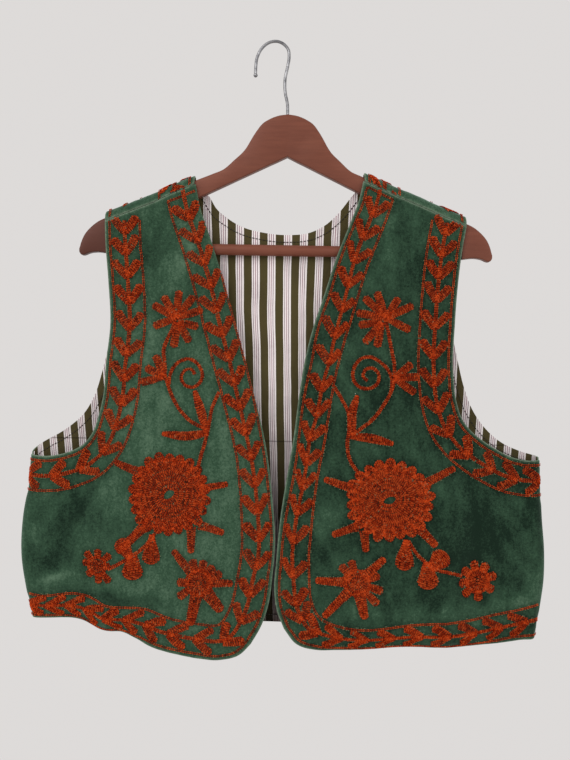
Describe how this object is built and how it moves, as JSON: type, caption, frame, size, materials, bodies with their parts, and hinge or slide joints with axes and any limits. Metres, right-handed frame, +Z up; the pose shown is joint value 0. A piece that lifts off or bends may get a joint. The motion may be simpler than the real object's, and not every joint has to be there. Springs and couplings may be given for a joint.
{
  "type": "embroidered waistcoat on a wooden hanger",
  "caption": "Open-fronted sleeveless velvet waistcoat with chain-stitched borders and flowers, striped lining, hanging on a flat wooden hanger with a wire hook.",
  "frame": {"origin": "inner side of the hook's crown, where it rests on a rail; the hanger's middle lies 15.5 mm to its +X side", "axes": "+Z up, -Y towards the garment's front, +X towards the wearer's left"},
  "size_m": [0.563, 0.037, 0.6697],
  "materials": {
    "velvet": "deep green cotton velvet with a brushed nap",
    "lining": "plain cotton with olive, white and mauve stripes",
    "thread": "rust wool chain stitch",
    "wood": "reddish-brown stained satin varnish",
    "wire": "plain bent steel wire"
  },
  "bodies": {
    "root": {"velvet_front_right": "velvet", "velvet_front_left": "velvet", "velvet_back": "velvet", "lining_back": "lining", "hanger_arch": "wood", "hanger_bar": "wood", "hanger_hook": "wire", "embroidery_edge_right": "thread", "embroidery_armhole_right": "thread", "embroidery_rosette_right": "thread", "embroidery_star_right": "thread", "embroidery_side_flower_right": "thread", "embroidery_drop_right": "thread", "embroidery_bells_right": "thread", "embroidery_vine_right": "thread", "embroidery_edge_left": "thread", "embroidery_armhole_left": "thread", "embroidery_rosette_left": "thread", "embroidery_star_left": "thread", "embroidery_side_flower_left": "thread", "embroidery_drop_left": "thread", "embroidery_bells_left": "thread", "embroidery_vine_left": "thread"}
  },
  "joints": []
}
